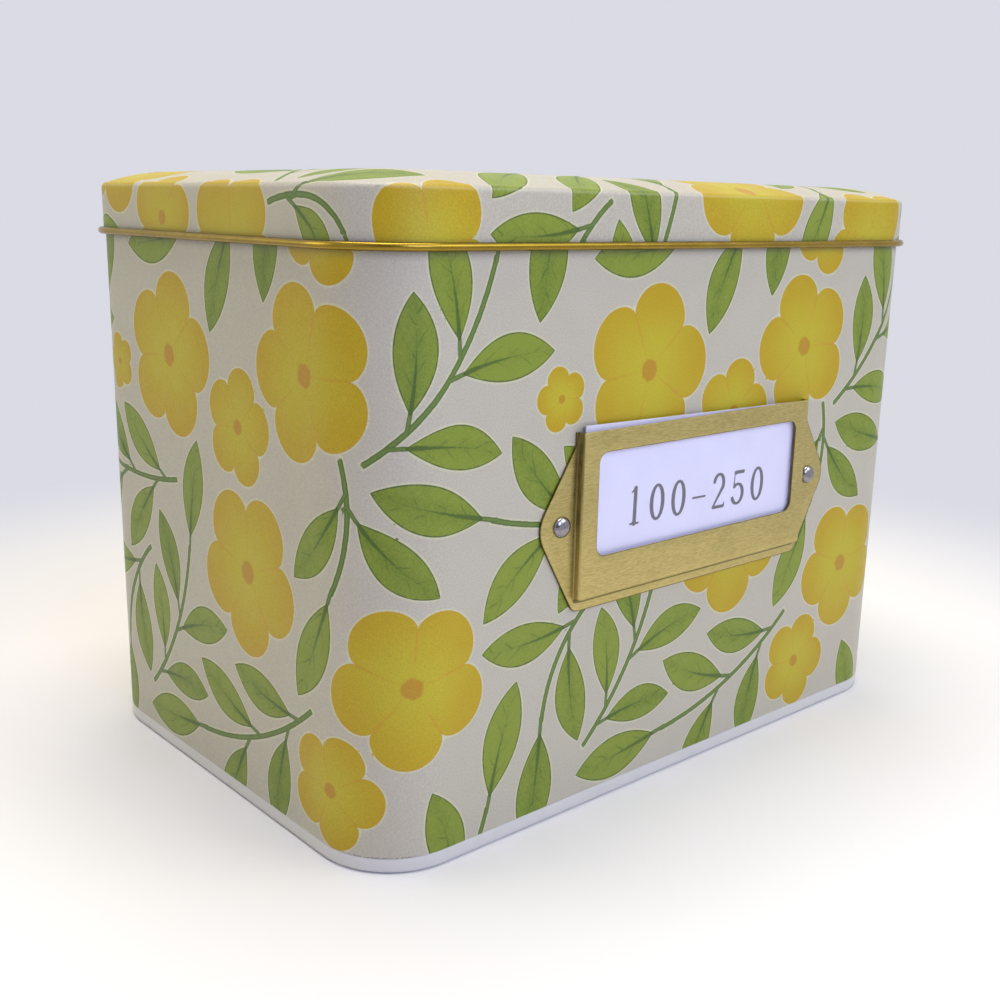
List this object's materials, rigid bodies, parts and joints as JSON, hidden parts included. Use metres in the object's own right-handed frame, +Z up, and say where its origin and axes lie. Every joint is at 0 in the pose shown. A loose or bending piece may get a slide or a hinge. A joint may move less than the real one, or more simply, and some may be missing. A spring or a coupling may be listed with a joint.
{
  "type": "index card box",
  "caption": "Printed tinplate index card box with a hinged lid, brass label holder, white base and a file of tabbed dividers and cards.",
  "frame": {"origin": "middle of the underside, on the surface the box stands on", "axes": "+X along the front to the right, +Y from the labelled front to the hinged back, +Z up"},
  "size_m": [0.1682, 0.1157, 0.1266],
  "materials": {
    "printed_tin": "matte printed tinplate, yellow and green motifs on warm off-white, gold lacquered rolled edge",
    "white_enamel": "satin white coating",
    "gold_lacquer": "glossy gold lacquer on tinplate",
    "bare_tinplate": "bare tinplate inside the box",
    "hinge_steel": "bright steel",
    "holder_brass": "brushed pale brass",
    "rivet_steel": "polished nickel plate",
    "label_paper": "smooth white card",
    "divider_board": "coloured divider board",
    "card_paper": "white index card"
  },
  "bodies": {
    "tin": {"body_wall": "printed_tin", "base_pan": "white_enamel", "hinge_wire": "hinge_steel", "hinge_strap_left": "hinge_steel", "hinge_strap_right": "hinge_steel", "label_holder": "holder_brass", "holder_rivet_left": "rivet_steel", "holder_rivet_right": "rivet_steel"},
    "lid": {"lid_shell": "printed_tin"},
    "label": {"label_card": "label_paper"},
    "section_1": {"divider_1": "divider_board", "card_pack_1": "card_paper"},
    "section_2": {"divider_2": "divider_board", "card_pack_2": "card_paper"},
    "section_3": {"divider_3": "divider_board", "card_pack_3": "card_paper"},
    "section_4": {"divider_4": "divider_board", "card_pack_4": "card_paper"},
    "section_5": {"divider_5": "divider_board", "card_pack_5": "card_paper"},
    "section_6": {"divider_6": "divider_board", "card_pack_6": "card_paper"},
    "section_7": {"divider_7": "divider_board", "card_pack_7": "card_paper"},
    "section_8": {"divider_8": "divider_board", "card_pack_8": "card_paper"}
  },
  "joints": [
    {"name": "lid_hinge", "type": "hinge", "parent": "tin", "child": "lid", "pos_m": [0, 0.05685, 0.1139], "axis": [-1, 0, 0], "range_deg": [0, 105]},
    {"name": "label_slide", "type": "slide", "parent": "tin", "child": "label", "axis": [0, 0, 1], "range_m": [0, 0.03]},
    {"name": "tilt_1", "type": "hinge", "parent": "tin", "child": "section_1", "pos_m": [0, -0.00365, 0.0031], "axis": [1, 0, 0], "range_deg": [0, 28]},
    {"name": "tilt_2", "type": "hinge", "parent": "tin", "child": "section_2", "pos_m": [0, 0.0015, 0.0031], "axis": [1, 0, 0], "range_deg": [0, 24.5]},
    {"name": "tilt_3", "type": "hinge", "parent": "tin", "child": "section_3", "pos_m": [0, 0.00664, 0.0031], "axis": [1, 0, 0], "range_deg": [0, 21]},
    {"name": "tilt_4", "type": "hinge", "parent": "tin", "child": "section_4", "pos_m": [0, 0.01179, 0.0031], "axis": [1, 0, 0], "range_deg": [0, 17.5]},
    {"name": "tilt_5", "type": "hinge", "parent": "tin", "child": "section_5", "pos_m": [0, 0.01695, 0.0031], "axis": [1, 0, 0], "range_deg": [0, 14]},
    {"name": "tilt_6", "type": "hinge", "parent": "tin", "child": "section_6", "pos_m": [0, 0.0221, 0.0031], "axis": [1, 0, 0], "range_deg": [0, 10.5]},
    {"name": "tilt_7", "type": "hinge", "parent": "tin", "child": "section_7", "pos_m": [0, 0.02724, 0.0031], "axis": [1, 0, 0], "range_deg": [0, 7]},
    {"name": "tilt_8", "type": "hinge", "parent": "tin", "child": "section_8", "pos_m": [0, 0.0324, 0.0031], "axis": [1, 0, 0], "range_deg": [0, 3.5]}
  ],
  "couplings": [
    {"joint": "tilt_2", "follows": "tilt_1", "ratio": 0.875},
    {"joint": "tilt_3", "follows": "tilt_1", "ratio": 0.75},
    {"joint": "tilt_4", "follows": "tilt_1", "ratio": 0.625},
    {"joint": "tilt_5", "follows": "tilt_1", "ratio": 0.5},
    {"joint": "tilt_6", "follows": "tilt_1", "ratio": 0.375},
    {"joint": "tilt_7", "follows": "tilt_1", "ratio": 0.25},
    {"joint": "tilt_8", "follows": "tilt_1", "ratio": 0.125}
  ]
}
